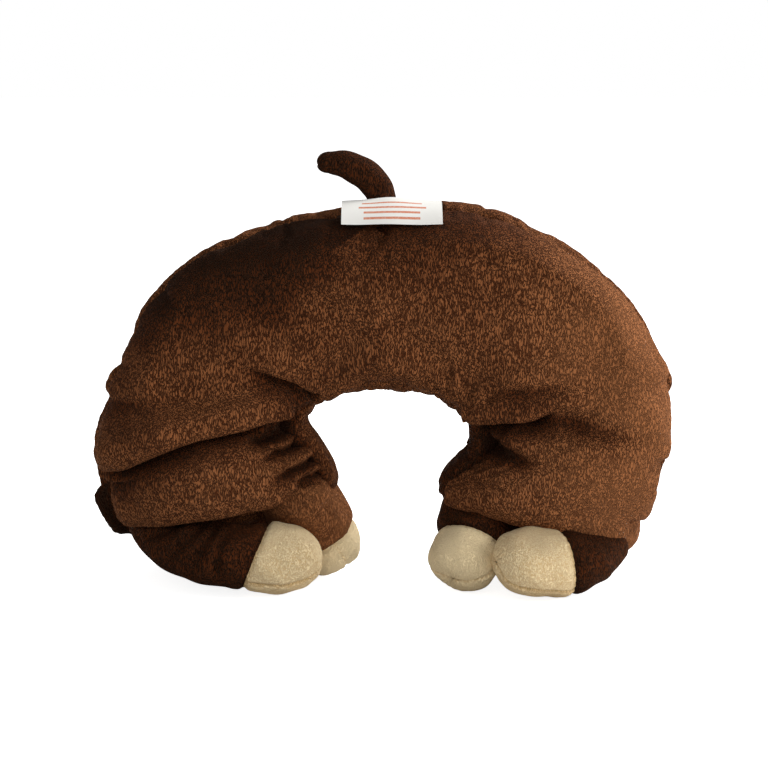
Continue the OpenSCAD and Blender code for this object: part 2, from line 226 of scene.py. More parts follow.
def blown_up(grid, pins, pressure, slack, frames, cap):
    """Cloth: a closed coarse skin is held along its seams (pins), given slack, and blown up for a few
    frames. Returns how far each point moved, never over cap."""
    m, n = grid.shape[:2]
    verts = grid.reshape(-1, 3) * mm
    index = np.arange(m * n).reshape(m, n)
    index = np.hstack([index, index[:, :1]])
    quads = np.stack([index[:-1, :-1], index[:-1, 1:], index[1:, 1:], index[1:, :-1]], -1).reshape(-1, 4)
    ends = [list(map(int, index[0, :-1][::-1])), list(map(int, index[-1, :-1]))]
    mesh = bpy.data.meshes.new("cloth")
    mesh.from_pydata(verts.tolist(), [], quads.tolist() + ends)
    obj = placed("cloth", mesh)
    held = obj.vertex_groups.new(name="held")
    held.add(np.flatnonzero(pins.ravel() > 0.5).tolist(), 1.0, "REPLACE")
    cloth = obj.modifiers.new("cloth", "CLOTH")
    cloth.settings.quality = 5
    cloth.settings.mass = 0.25
    cloth.settings.tension_stiffness = 18
    cloth.settings.compression_stiffness = 12
    cloth.settings.shear_stiffness = 6
    cloth.settings.bending_stiffness = 0.15
    cloth.settings.vertex_group_mass = "held"
    cloth.settings.use_pressure = True
    cloth.settings.uniform_pressure_force = pressure
    cloth.settings.shrink_min = -slack
    cloth.settings.effector_weights.gravity = 0
    cloth.point_cache.frame_end = frames
    for f in range(1, frames + 1):
        bpy.context.scene.frame_set(f)
    done = obj.evaluated_get(bpy.context.evaluated_depsgraph_get())
    after = np.empty(m * n * 3)
    done.data.vertices.foreach_get("co", after)
    bpy.data.objects.remove(obj)
    bpy.context.scene.frame_set(1)
    moved = (after.reshape(-1, 3) - verts) / mm
    size = np.linalg.norm(moved, axis=-1, keepdims=True)
    moved *= np.minimum(1, cap / np.maximum(size, 1e-6))
    return moved.reshape(m, n, 3)


def refined(coarse, s_to, t_to):
    """A field on a coarse grid, closed round t, brought to the finer rows s_to and columns t_to."""
    m, n = coarse.shape[:2]
    there = through(coarse, s_to)
    wide = np.concatenate([there[:, -2:], there, there[:, :3]], axis=1).swapaxes(0, 1)
    return through(wide, t_to * n + 2).swapaxes(0, 1)


def nearest_on(points, x, z):
    """For each x, z: the signed distance from a smooth line through the points (plus above it), how far
    along the line the nearest place is, from 0 to 1, and the line's upward direction there."""
    line = through(np.array(points, float), np.linspace(0, len(points) - 1, 30 * len(points)))
    slope = np.gradient(line, axis=0)
    slope /= np.linalg.norm(slope, axis=1, keepdims=True)
    up = np.stack([-slope[:, 1], slope[:, 0]], 1)
    up *= np.where(up[:, 1:] < 0, -1, 1)
    gap = (x[:, None] - line[:, 0]) ** 2 + (z[:, None] - line[:, 1]) ** 2
    k = gap.argmin(1)
    away = np.stack([x - line[k, 0], z - line[k, 1]], 1)
    side = np.where((away * up[k]).sum(1) >= 0, 1.0, -1.0)
    return side * np.sqrt(gap[np.arange(len(k)), k]), k / (len(line) - 1), up[k]


def ease(v):
    """0 below 0, 1 above 1, and three v squared less two v cubed between."""
    v = np.clip(v, 0, 1)
    return v * v * (3 - 2 * v)


def along_panel(points, reach, front):
    """The points of one panel within reach of a line through the points, with the line's distance,
    place along it and upward direction at each."""
    x, z = bag[..., 0], bag[..., 2]
    p = np.array(points)
    near = (x > p[:, 0].min() - reach) & (x < p[:, 0].max() + reach) & (z > p[:, 1].min() - reach)
    near &= (z < p[:, 1].max() + reach) & ((bag_t[None, :] > 0.5) == front)
    return (near,) + nearest_on(points, x[near], z[near])


def fold(points, depth, width, lip=0.0, lean=0.0, soft_start=0.08, soft_end=0.3, spread=2.4, wall=0.55,
         front=False):
    """One fold across a panel: under a crest that bulges and leans down, the cloth drops in at once and
    comes back slowly below, as e to the minus distance over the spread. The wall is how sharply it drops.
    The valley below the crest is painted darker there, as painted shade."""
    near, d, u, up = along_panel(points, (3 * spread + 3) * width, front)
    fade = ease(u / soft_start + 0.25) * ease((1 - u) / soft_end + 0.1)
    h = d / width
    inward = np.where(h < 0, np.exp(-(np.abs(h) / spread) ** 1.25), np.exp(-((h / wall) ** 2)))
    out = -depth * inward + lip * np.exp(-(((h - 1.9) / 1.5) ** 2))
    down = lean * np.exp(-(((h - 0.9) / 0.95) ** 2))
    move[near] += (out * fade)[:, None] * bag_out[near]
    move[near, 0] -= down * fade * up[:, 0]
    move[near, 2] -= down * fade * up[:, 1]
    # Painted shade: how dark the pile is painted in the valley, most just under the crest.
    valley_shade = np.where(h < 0, np.exp(-((h / (1.2 * spread)) ** 2)), np.exp(-((h / (0.55 * wall)) ** 2)))
    crease_shade[near] += fade * valley_shade * min(1.0, depth / 8)


def roll(points, height, width, front=False):
    """A broad soft roll of cloth along a line: a bell curve across it, that fades at both ends."""
    near, d, u, up = along_panel(points, 3 * width, front)
    fade = ease(u / 0.25 + 0.1) * ease((1 - u) / 0.25 + 0.1)
    move[near] += (height * fade * np.exp(-((d / width) ** 2)))[:, None] * bag_out[near]


def run_along(line):
    """How far each point of a line is from its first, along the line."""
    return np.concatenate([[0], np.cumsum(np.linalg.norm(np.diff(line, axis=0), axis=-1))])


# The bag's fine grid: rings from the left end over the crown to the right end, and columns round from the
# outer seam over the back panel to the inner seam and back over the front one.
bag_rings = 761
bag_columns = 264
inner_column = bag_columns // 2
bag_s = even_steps(bag_rows, bag_rings)
bag_t = np.linspace(0, 1, bag_columns + 1)[:-1]
bag = horseshoe(bag_s, bag_t)
bag_out = outward(bag)
round_step = np.linalg.norm(np.diff(np.concatenate([bag, bag[:, :1]], 1), axis=1), axis=-1)
from_outer = np.concatenate([np.zeros((len(bag_s), 1)), np.cumsum(round_step, 1)[:, :-1]], 1)
whole = round_step.sum(1, keepdims=True)
half_way = from_outer[:, inner_column:inner_column + 1]
to_outer = np.minimum(from_outer, whole - from_outer)
to_inner = np.abs(from_outer - half_way)
outer_run = run_along(bag[:, 0])[:, None]
inner_run = run_along(bag[:, inner_column])[:, None]
is_back = (bag_t <= 0.5)[None, :]

# The panels are cut a little long, so the beads blow them out between the seams.
move = np.zeros_like(bag)
# How much painted shade each point gets in the valleys of the folds.
crease_shade = np.zeros(bag.shape[:2])
cloth_columns = 72
cloth_s = even_steps(bag_rows, 201)
cloth_t = np.linspace(0, 1, cloth_columns + 1)[:-1]
limp = horseshoe(cloth_s, cloth_t)
pins = np.zeros(limp.shape[:2])
pins[:, [0, cloth_columns // 2]] = 1
pins[[0, 1, -2, -1]] = 1
blown = blown_up(limp, pins, pressure=4.0, slack=0.05, frames=12, cap=5.0)
at = np.interp(bag_s, cloth_s, np.arange(len(cloth_s)))
move += refined(blown, at, bag_t)

# Folds where the arms give under the crown. On the left one long fold runs right across the arm, on the
# right a short deep one fades into a shallow hollow, and small ones fan out from both inner seams.
left_main = [(-44, 99), (-54, 96.3), (-66, 93), (-90, 86.8), (-115, 77.5), (-145, 62.5)]
roll([(-44, 105), (-70, 100), (-98, 92), (-125, 82), (-146, 72)], 3.5, 8)
roll([(-62, 76), (-85, 70), (-110, 63), (-140, 54)], 4.0, 8)
fold(left_main, 13, 3.8, lip=5.5, lean=7.0, soft_start=0.2, soft_end=0.14, spread=2.7)
under_crown = [(-68, 119), (-54, 114), (-43, 109.5), (-32, 104)]
fold(under_crown, 5.5, 3.2, lip=1.8, lean=1.8, soft_start=0.5, soft_end=0.2)
fold([(-150, 99), (-135, 99.7), (-121, 100), (-104, 102)], 3.4, 5.5, lip=1.6, soft_end=0.6)
fold([(-150, 118), (-138, 117), (-122, 118)], 2.4, 5, lip=1, soft_end=0.6)
fan = dict(lip=1.6, soft_end=0.6, spread=1.0, wall=1.0)
fold([(-41, 88.5), (-55, 84.5), (-68, 78)], 6, 2.8, **fan)
fold([(-36, 82), (-49, 77), (-62, 70)], 6.5, 2.6, **fan)
fold([(-33, 71.5), (-47, 65.5), (-60, 59)], 6.5, 2.6, **fan)
fold([(-30, 64), (-42, 59.6), (-53, 55)], 5, 2.4, **fan)
fold([(-144, 57), (-134, 58), (-122, 61)], 3, 3.4, lip=1.4, lean=1.0, soft_end=0.5)
fold([(-138, 140), (-130, 138), (-122, 141)], 2.6, 3.0, lip=1.0, soft_end=0.5)
fold([(-112, 158), (-106, 150), (-98, 145)], 1.8, 4.0, lip=0.8, soft_end=0.6)
right_main = [(40, 95), (52, 93.9), (64, 93.4), (75, 94), (85, 96.5)]
roll([(42, 102), (62, 102), (82, 103), (104, 106)], 3.0, 7)
roll([(48, 83), (72, 81), (96, 81), (130, 74)], 2.5, 7)
fold(right_main, 12, 3.2, lip=4.2, lean=5.5, soft_start=0.12, soft_end=0.45, spread=2.9)
right_hollow = [(74, 93), (92, 91.5), (106, 87.5), (120, 83.5), (138, 79.5)]
fold(right_hollow, 5.5, 4.0, lip=0.8, soft_start=0.4, soft_end=0.5, spread=1.8, wall=2.2)
right_under = [(45, 79.5), (55, 77), (65, 73), (76, 68)]
fold(right_under, 8, 3.2, lip=1.6, soft_start=0.2, soft_end=0.5, spread=1.5, wall=1.4)
fold([(52, 107), (66, 106.5), (86, 110), (108, 113)], 3.2, 5, lip=2.2, soft_start=0.5, soft_end=0.5)
fold([(152, 66), (143, 68), (133, 72)], 3.0, 3.0, lip=1.2, soft_end=0.5)
fold([(140, 34), (130, 36), (120, 40)], 2.6, 2.6, lip=1.0, soft_end=0.5)
fold([(150, 108), (140, 108), (126, 106)], 2.2, 4.5, lip=1, soft_end=0.6)
# On the far panel the folds of the two arms are alike.
front_folds = [
    ([(58, 89), (72, 87), (88, 83), (112, 76), (142, 68)],
     dict(depth=7, width=4.0, lip=4.0, lean=4.0, soft_start=0.4)),
    ([(52, 70), (64, 67), (76, 66), (92, 67)],
     dict(depth=5, width=3.2, lip=2.5, lean=2.0, soft_start=0.4)),
    ([(150, 99), (132, 98), (112, 101)],
     dict(depth=3, width=4.5, lip=1.6, soft_end=0.5)),
    ([(130, 45), (114, 42), (96, 45)],
     dict(depth=3.4, width=3.8, lip=2.0, soft_start=0.4, soft_end=0.5)),
]
for points, settings in front_folds:
    for side_sign in (-1, 1):
        fold([(side_sign * px, pz) for px, pz in points], front=True, **settings)

# The far panel bags out low on the left, where the beads have run down into it.
roll([(-143, 52), (-145, 38), (-137, 22)], 5.5, 13, front=True)

# The hem where each limb comes out: the panel rolls over the limb and tucks in under it.
left_hem = [(-42, 55), (-56, 48), (-77, 45.3), (-98, 42.5), (-116, 38.5), (-138, 33.5)]
right_hem = [(27, 48), (42, 45), (56, 41), (77, 35.8), (98, 30.6), (116, 22.7), (133, 11)]
fold(left_hem, 15, 4.0, lip=4, lean=4, soft_start=0.05, soft_end=0.12, spread=1.8)
fold(right_hem, 13, 4.0, lip=4, lean=4, soft_start=0.05, soft_end=0.22, spread=1.8)


def gathers(run, pitch, wander):
    """Rounded pleats along a seam with sharp valleys between: the size of a cosine of the run over the
    pitch, where slow waves stretch and squeeze the pitch."""
    phase = np.pi * run / pitch + wander * (np.sin(run / 17 + 0.6) + 0.7 * np.sin(run / 7.3 + 2.1))
    return np.abs(np.cos(phase)) ** 0.8 - 0.6


seam_pull = -1.8 * np.exp(-((to_outer / 1.6) ** 2)) - 2.6 * np.exp(-((to_inner / 2.0) ** 2))
pleats = 0.95 * gathers(outer_run, 3.7, 0.5) * np.exp(-to_outer / 4.5)
pleats += 0.6 * gathers(outer_run + 3, 9.5, 0.9) * np.exp(-to_outer / 10)
arm = ease((110 - bag[:, inner_column:inner_column + 1, 2]) / 30)
pleats += (0.8 + 0.4 * arm) * gathers(inner_run, 7.0, 0.8) * np.exp(-to_inner / 8)
pleats += 0.7 * arm * ~is_back * gathers(inner_run + 4, 8.0, 1.4) * np.exp(-to_inner / 12)
pleats += 0.7 * gathers(inner_run + 2, 3.8, 0.6) * np.exp(-to_inner / 4)
rim = np.exp(-(((to_outer - 7) / 6) ** 2)) + 1.8 * np.exp(-(((to_inner - 9) / 7) ** 2))
rim = np.where(is_back, 0.0, rim)
x, y, z = bag[..., 0], bag[..., 1], bag[..., 2]
lumps = 0.9 * np.sin(x / 19 + 1.3 * np.sin(z / 23)) * np.sin(z / 17 + y / 31 + 0.8)
lumps += 0.5 * np.sin(x / 8.5 + z / 11) * np.sin(z / 9.1 - x / 15 + y / 12)
move += (seam_pull + pleats + rim + lumps)[..., None] * bag_out
bag_skin = bag + move
bag_skin[..., 2] = np.maximum(bag_skin[..., 2], floor_gap)
# Where the head is sewn on, the front panel is pressed flat.
head_x, head_z = 0.0, 144.0
head_reach = 46.0
neck_y = 40.0
head_near = ease((head_reach - np.hypot(x - head_x, z - head_z)) / 14)
bag_skin[..., 1] -= head_near * np.maximum(bag_skin[..., 1] - (neck_y - 0.1), 0)


def piece_of(name, grid, round_=False, start=False, end=False, fields=()):
    """A mesh over a grid of points in millimetres: squares between neighbours, closed round its columns
    where round_ is set, and fans to one middle point over its first or last row. fields are numbers
    kept on the points for the materials."""
    m, n = grid.shape[:2]
    verts = grid.reshape(-1, 3)
    index = np.arange(m * n).reshape(m, n)
    if round_:
        index = np.hstack([index, index[:, :1]])
    faces = np.stack([index[:-1, :-1], index[:-1, 1:], index[1:, 1:], index[1:, :-1]], -1)
    faces = faces.reshape(-1, 4).tolist()
    middles = []
    if start:
        c = len(verts) + len(middles)
        middles.append(grid[0].mean(0))
        faces += [[c, b, a] for a, b in zip(index[0, :-1].tolist(), index[0, 1:].tolist())]
    if end:
        c = len(verts) + len(middles)
        middles.append(grid[-1].mean(0))
        faces += [[c, a, b] for a, b in zip(index[-1, :-1].tolist(), index[-1, 1:].tolist())]
    if middles:
        verts = np.concatenate([verts, middles])
    verts = (verts + [0, seam_y / mm, 0]) * mm
    mesh = bpy.data.meshes.new(name)
    mesh.from_pydata(verts.tolist(), [], faces)
    mesh.polygons.foreach_set("use_smooth", [True] * len(mesh.polygons))
    for label, field in fields:
        values = np.concatenate([np.broadcast_to(field, (m, n)).ravel(), np.zeros(len(middles))])
        mesh.attributes.new(label, "FLOAT", "POINT").data.foreach_set("value", values.astype(np.float32))
    return placed(name, mesh)


def socket(group, name, kind, into=True, value=None):
    """One named input or output of a node group, with the value it starts at."""
    made = group.interface.new_socket(name, in_out="INPUT" if into else "OUTPUT", socket_type=kind)
    if value is not None:
        made.default_value = value


# Short pile: streaks as long as the tufts, that lie down the cloth and wander, over patches where a
# hand has stroked the pile the other way. The tone it is given on top also carries painted light and shade.
pile = bpy.data.node_groups.new("pile", "ShaderNodeTree")
socket(pile, "Deep", "NodeSocketColor")
socket(pile, "Middle", "NodeSocketColor")
socket(pile, "Light", "NodeSocketColor")
socket(pile, "Pile tone and shade", "NodeSocketFloat", value=0.5)
socket(pile, "Tuft width", "NodeSocketFloat", value=1.0)
socket(pile, "Tuft length", "NodeSocketFloat", value=3.0)
socket(pile, "Color", "NodeSocketColor", into=False)
socket(pile, "Height", "NodeSocketFloat", into=False)


def node(tree, kind, **values):
    """A new node with its settings, and its inputs where the name is one. A socket is linked to the
    input it is given for."""
    made = tree.nodes.new(kind)
    for key, value in values.items():
        if hasattr(made, key):
            setattr(made, key, value)
        elif isinstance(value, bpy.types.NodeSocket):
            tree.links.new(value, made.inputs[key.replace("_", " ")])
        else:
            set_inputs(made, **{key: value})
    return made


def sums(tree, how, a, b, clamp=False):
    """One Math node; a and b are sockets or plain numbers."""
    made = tree.nodes.new("ShaderNodeMath")
    made.operation = how
    made.use_clamp = clamp
    for k, v in enumerate((a, b)):
        if isinstance(v, (int, float)):
            made.inputs[k].default_value = v
        else:
            tree.links.new(v, made.inputs[k])
    return made.outputs[0]


def mixed(tree, factor, a, b):
    """One colour Mix node; each of factor, a and b is a socket, a number or a colour."""
    made = tree.nodes.new("ShaderNodeMix")
    made.data_type = "RGBA"
    for k, v in ((0, factor), (6, a), (7, b)):
        if isinstance(v, (int, float)):
            made.inputs[k].default_value = v
        elif isinstance(v, tuple):
            made.inputs[k].default_value = v + (1,) * (4 - len(v))
        else:
            tree.links.new(v, made.inputs[k])
    return made.outputs[2]


given = pile.nodes.new("NodeGroupInput")
result = pile.nodes.new("NodeGroupOutput")
where = pile.nodes.new("ShaderNodeTexCoord").outputs["Object"]
drift = node(pile, "ShaderNodeTexNoise", Vector=where, Scale=55.0, Detail=2.0)
bent = node(pile, "ShaderNodeVectorMath", operation="MULTIPLY_ADD")
pile.links.new(drift.outputs["Color"], bent.inputs[0])
bent.inputs[1].default_value = (0.0025, 0.0025, 0.0025)
pile.links.new(where, bent.inputs[2])
wide = sums(pile, "DIVIDE", 1700.0, given.outputs["Tuft width"])
long = sums(pile, "DIVIDE", 1700.0, given.outputs["Tuft length"])
size = pile.nodes.new("ShaderNodeCombineXYZ")
pile.links.new(wide, size.inputs[0])
pile.links.new(wide, size.inputs[1])
pile.links.new(long, size.inputs[2])
tufted = node(pile, "ShaderNodeVectorMath", operation="MULTIPLY")
pile.links.new(bent.outputs[0], tufted.inputs[0])
pile.links.new(size.outputs[0], tufted.inputs[1])
streak = node(pile, "ShaderNodeTexNoise", Vector=tufted.outputs[0], Scale=1.0, Detail=1.0, Roughness=0.5)
parted = sums(pile, "ABSOLUTE", sums(pile, "SUBTRACT", streak.outputs[0], 0.5), 0.0)
furrow = sums(pile, "MULTIPLY", parted, 9.0, clamp=True)
patch = node(
    pile, "ShaderNodeTexNoise", Vector=where, Scale=24.0, Detail=4.0, Roughness=0.55, Distortion=0.6,
)
blotch = node(pile, "ShaderNodeTexNoise", Vector=where, Scale=110.0, Detail=3.0, Roughness=0.6)
tone = given.outputs["Pile tone and shade"]
changes = [(patch.outputs[0], 0.5, 0.4), (blotch.outputs[0], 0.5, 0.35), (furrow, 0.62, 0.54)]
for change, middle_value, strength in changes:
    above = sums(pile, "SUBTRACT", change, middle_value)
    tone = sums(pile, "ADD", tone, sums(pile, "MULTIPLY", above, strength))
low = sums(pile, "MULTIPLY", tone, 2.0, clamp=True)
high = sums(pile, "MULTIPLY_ADD", tone, 2.0, clamp=True)
high.node.inputs[2].default_value = -1.0
colour = mixed(pile, low, given.outputs["Deep"], given.outputs["Middle"])
colour = mixed(pile, high, colour, given.outputs["Light"])
pile.links.new(colour, result.inputs["Color"])
tall = sums(pile, "ADD", furrow, sums(pile, "MULTIPLY", blotch.outputs[0], 0.8))
pile.links.new(tall, result.inputs["Height"])


def pile_cloth(name, deep, middle, light, width, length, rise, strength, sheen, tint):
    """Plush: the pile's colours and bumps, with a sheen off the tips of the tufts. A field on the points
    says how light the pile is painted there: how the pile lies, with painted light and shade on top."""
    made, tree, shader = new_material(name)
    fur = tree.nodes.new("ShaderNodeGroup")
    fur.node_tree = pile
    set_inputs(fur, Deep=deep + (1,), Middle=middle + (1,), Light=light + (1,))
    set_inputs(fur, Tuft_width=width, Tuft_length=length)
    field = node(tree, "ShaderNodeAttribute", attribute_name="pile_tone_and_shade")
    tree.links.new(field.outputs["Fac"], fur.inputs["Pile tone and shade"])
    bump = node(tree, "ShaderNodeBump", Strength=strength, Distance=rise, Height=fur.outputs["Height"])
    tree.links.new(bump.outputs[0], shader.inputs["Normal"])
    tree.links.new(fur.outputs["Color"], shader.inputs["Base Color"])
    set_inputs(shader, Roughness=0.85, Specular_IOR_Level=0.03)
    set_inputs(shader, Sheen_Weight=sheen, Sheen_Roughness=0.45, Sheen_Tint=tint + (1,))
    return made


brown_pile = pile_cloth(
    "brown_pile", (0.013, 0.0030, 0.0009), (0.100, 0.0275, 0.0083), (0.31, 0.118, 0.045),
    width=1.4, length=5.6, rise=0.0019, strength=1.0, sheen=0.07, tint=(1.0, 0.55, 0.32),
)

# How light the bag's pile is painted. The crown's upper back is darker, most on the left where the pile
# lies down, and darker towards the top, with painted shade under the label. The right arm gets painted
# light from the lamp on that side. Folds, the far panel's low left and the cloth by the inner seam on the
# arms get painted shade, and both seams are darker.
dark_edge_left = [(-29, 173), (-53, 154), (-77, 146), (-108, 133), (-137, 137)]
dark_edge_right = [(8, 181), (49, 174), (82, 157), (96, 159), (121, 144)]
d_left, d_right = [nearest_on(edge, x.ravel(), z.ravel())[0] for edge in (dark_edge_left, dark_edge_right)]
wobble = 5 * np.sin(x / 13.0) + 3 * np.sin(x / 6.1 + z / 9)
dark_left = ease((d_left.reshape(x.shape) + wobble) / 42 + 0.5) * (x < 0)
dark_right = ease((d_right.reshape(x.shape) + wobble) / 24 + 0.5) * (x >= 0)
pile_tone_and_shade = 0.62 - 0.66 * dark_left * ease(-x / 20) - 0.16 * dark_right - 0.06 * ease((z - 165) / 20)
# Painted shade on the crown under the label.
pile_tone_and_shade -= 0.17 * np.exp(-(((x - 5) / 45) ** 2)) * ease((z - 145) / 30)
# Painted light: the right arm lighter where the lamp on the right falls on it; the left arm's lower part is
# made a little lighter too.
pile_tone_and_shade += 0.5 * ease((x - 42) / 90) + 0.1 * ease((-x - 20) / 40) * ease((118 - z) / 30)
# Painted shade on the far panel's low left bulge, which faces away from the lamps.
shade_low_left = ease((-110 - x) / 20) * ease((62 - z) / 14)
# Painted shade on the far panel by the inner seam on the arms, where the cloth is tucked in, more on the
# right.
tucked_shade = arm * ease((30 - to_inner) / 12) * np.where(x > 0, 0.42, 0.15)
# The far panel has its own tone; painted shade darkens every fold's valley.
pile_tone_and_shade = np.where(is_back, pile_tone_and_shade, 0.66 - 0.7 * shade_low_left - tucked_shade) - 0.85 * np.minimum(crease_shade, 1)
pile_tone_and_shade -= 0.35 * np.exp(-((to_outer / 1.3) ** 2)) + 0.35 * np.exp(-((to_inner / 1.3) ** 2))

# Each panel is one mesh a side.
# The covers, liners and beads that each panel stands in for.
held_by = {
    ("back", "left"): ["liner_back", "cover_back", "beads_arm_left"],
    ("front", "left"): ["liner_front", "cover_front", "beads_crown"],
    ("back", "right"): ["beads_arm_right"],
}
crown_ring = bag_rings // 2
for side, rows in (("left", slice(0, crown_ring + 1)), ("right", slice(crown_ring, None))):
    for face in ("back", "front"):
        if face == "back":
            part = bag_skin[rows, :inner_column + 1]
            shade = pile_tone_and_shade[rows, :inner_column + 1]
        else:
            part = np.concatenate([bag_skin[rows, inner_column:], bag_skin[rows, :1]], 1)
            shade = np.concatenate([pile_tone_and_shade[rows, inner_column:], pile_tone_and_shade[rows, :1]], 1)
        ends = dict(start=side == "left", end=side == "right")
        panel = piece_of(f"bag_{face}_{side}", part, fields=[("pile_tone_and_shade", shade)], **ends)
        panel.data.materials.append(brown_pile)
        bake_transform(panel)
        own = held_by.get((face, side))
        if own:
            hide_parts(*own)

# ---- Feet and hands ----
# Each limb is a brown sleeve sewn in under the hem, with a pale paw of two panels, upper and sole, on
# its end. Both are turned, stuffed, and drawn up with gathers at the tip, where the panels meet.
# Sleeve rows: middle x, y, z, then half width and half height. The paw runs on from the last row.
limbs = {
    "foot_left": dict(
        rows=[(-133, 3, 30.5, 4, 4), (-127, -3, 29.5, 8, 8.5), (-118, -12, 27, 12.4, 11.2),
              (-106, -19, 24.2, 16, 14.4), (-92, -24, 22.2, 18.2, 16), (-78, -27, 20.8, 18, 17),
              (-66, -28, 20.4, 17.6, 17.2)],
        tip=(-32.5, -28, 18.8), fat=(18, 17.8), roll=-34, tilt=0.3, seed=1,
        pulls=[[(-84, 43), (-103, 39), (-128, 27)], [(-85, 41), (-100, 33), (-113, 17)],
               [(-84, 39), (-92, 30), (-99, 12)], [(-80, 37), (-84, 26), (-86, 12)]]),
    "foot_right": dict(
        rows=[(124, -6, 25, 3.5, 3.5), (120, -13, 22.4, 9.2, 8.8), (113, -20, 21, 12.4, 11.4),
              (105.5, -26, 19.8, 15.2, 14.2), (98, -30, 19, 16.8, 15.9), (92, -32, 18.8, 17.6, 17.2)],
        tip=(56.5, -41, 21.5), fat=(19.4, 17.8), roll=40, tilt=0.12, seed=2, pulls=[]),
    "hand_left": dict(
        rows=[(-58, -10, 54, 14, 14), (-49, -3, 50, 23.5, 20), (-43, 3, 41, 23.5, 20.5),
              (-38, 6, 32.5, 21.5, 20), (-33, 8, 22, 19, 18.4)],
        tip=(-23.5, 12, 6), fat=(19, 17.8), roll=0, tilt=0.0, seed=3, pulls=[]),
    "hand_right": dict(
        rows=[(61, 8, 50, 14, 14), (56, 2, 46, 20.5, 18), (51.5, -5, 38, 22, 19.5),
              (48.5, -11, 29.5, 21, 19), (46, -15, 23.5, 19.2, 18.4)],
        tip=(35.4, -32, 9.8), fat=(18.6, 17.4), roll=6, tilt=0.0, seed=4, pulls=[]),
}


def frames_along(middle, level, evened_over=0):
    """For points along a line: the unit direction, evened over as many neighbours on each side as given,
    the unit vector square to it and to the level direction, and the cross product of the two."""
    way = np.gradient(middle, axis=0)
    way /= np.linalg.norm(way, axis=1, keepdims=True)
    if evened_over:
        padded = np.pad(way, ((evened_over, evened_over), (0, 0)), "edge")
        way = sum(padded[k:k + len(way)] for k in range(2 * evened_over + 1))
        way /= np.linalg.norm(way, axis=1, keepdims=True)
    side = np.cross(way, level)
    side /= np.linalg.norm(side, axis=1, keepdims=True)
    return way, side, np.cross(side, way)


limb_columns = 128
limb_half = limb_columns // 2


def stuffed_limb(rows, tip, fat, roll, tilt, seed, pulls, sleeve_rings=56, paw_rings=84):
    """Ovals carried along the sleeve's middle line, then straight on to the tip of the paw: half widths
    swell as a sine to the widest place and close as a cosine. Returns the grid, the row of the ankle
    seam, and for each point its run from that seam, its distance round from the side seams, and how
    near it lies to a pull crease, along which the pile gets painted shade."""
    sleeve = through(np.array(rows, float), np.linspace(0, len(rows) - 1, sleeve_rings))
    ankle, tip = sleeve[-1], np.array(tip, float)
    length = np.linalg.norm(tip - ankle[:3])
    swell = np.linspace(0, 1, paw_rings // 3)[1:]
    close = np.radians(np.linspace(0, 88.5, paw_rings - paw_rings // 3 + 1)[1:])
    widest = 0.42
    gone = np.concatenate([widest * swell, widest + (1 - widest) * np.sin(close)])
    paw = [ankle[:3] + gone[:, None] * (tip - ankle[:3])]
    for at_ankle, at_widest in zip(ankle[3:], fat):
        swelling = at_ankle + (at_widest - at_ankle) * np.sin(swell * np.pi / 2)
        closing = at_widest * np.cos(close) ** 0.78
        paw.append(np.concatenate([swelling, closing])[:, None])
    row = np.concatenate([sleeve, np.concatenate(paw, 1)])
    seam_at = len(sleeve) - 1
    way, side, up = frames_along(row[:, :3], level=(0.0, 0.0, 1.0), evened_over=24)
    turn = np.linspace(0, 1, limb_columns + 1)[:-1][None, :]
    angle = -2 * np.pi * turn + math.radians(roll)
    cos, sin = squared(np.cos(angle), 0.94), squared(np.sin(angle), 0.94)
    grid = row[:, None, :3] + side[:, None] * (row[:, 3:4] * cos)[..., None]
    grid += up[:, None] * (row[:, 4:5] * sin)[..., None]
    run = run_along(row[:, :3])
    run = (run - run[seam_at])[:, None]
    to_tip = (length - np.maximum(run, 0)) + 0.8 * row[:, 3, None]
    slant = np.exp(-((run / 16) ** 2)) * tilt
    grid = grid + way[:, None] * (slant * row[:, 4:5] * sin)[..., None]
    out = outward_round(grid)
    to_side = np.minimum(np.minimum(turn, 1 - turn), np.abs(turn - 0.5)) * 2 * np.pi * row[:, 3, None]
    phase = 2 * np.pi * turn
    lift = -1.3 * np.exp(-((run / 1.5) ** 2)) + 0.5 * np.exp(-(((np.abs(run) - 5) / 4) ** 2))
    paw_only = ease(run / 4)
    lift = lift - 1.1 * np.exp(-((to_side / 1.1) ** 2)) * (0.4 + 0.6 * paw_only)
    pleat = np.abs(np.cos(8 * phase + seed + 1.3 * np.sin(2 * phase + seed))) ** 0.8 - 0.6
    lift = lift + 0.8 * pleat * np.exp(-to_tip / 9) * paw_only
    lift = lift + 0.5 * (np.abs(np.cos(11 * phase + seed)) ** 0.8 - 0.6) * np.exp(-np.abs(run) / 5)
    px, py, pz = grid[..., 0], grid[..., 1], grid[..., 2]
    lift = lift + 0.7 * np.sin(px / 6.5 + seed) * np.sin(pz / 5.7 + py / 8 + 2 * seed)
    lift = lift + 0.35 * np.sin(px / 2.9 + pz / 3.3 + seed) * np.sin(py / 3.1)
    # How near each point lies to a pull crease, for painted shade there.
    pull_crease_shade = 0 * px
    for line in pulls:
        d, u, _ = nearest_on(line, px.ravel(), pz.ravel())
        near_side = ease((row[:, None, 1] - py) / 6 + 0.3)
        fade = (ease(u / 0.15) * ease((1 - u) / 0.3)).reshape(px.shape) * near_side
        d = d.reshape(px.shape)
        lift = lift + fade * (1.0 * np.exp(-(((d - 3.0) / 2.0) ** 2)) - 2.0 * np.exp(-((d / 1.9) ** 2)))
        pull_crease_shade = pull_crease_shade + fade * np.exp(-((d / 2.2) ** 2))
    grid = grid + out * lift[..., None]
    grid[..., 2] = np.maximum(grid[..., 2], floor_gap + 0.05 + 0.02 * np.sin(px / 3))
    return grid, seam_at, run, to_side, pull_crease_shade


cream_pile = pile_cloth(
    "cream_pile", (0.54, 0.37, 0.17), (0.86, 0.605, 0.30), (1.0, 0.81, 0.50),
    width=1.1, length=3.4, rise=0.0007, strength=0.8, sheen=0.2, tint=(1.0, 0.95, 0.85),
)
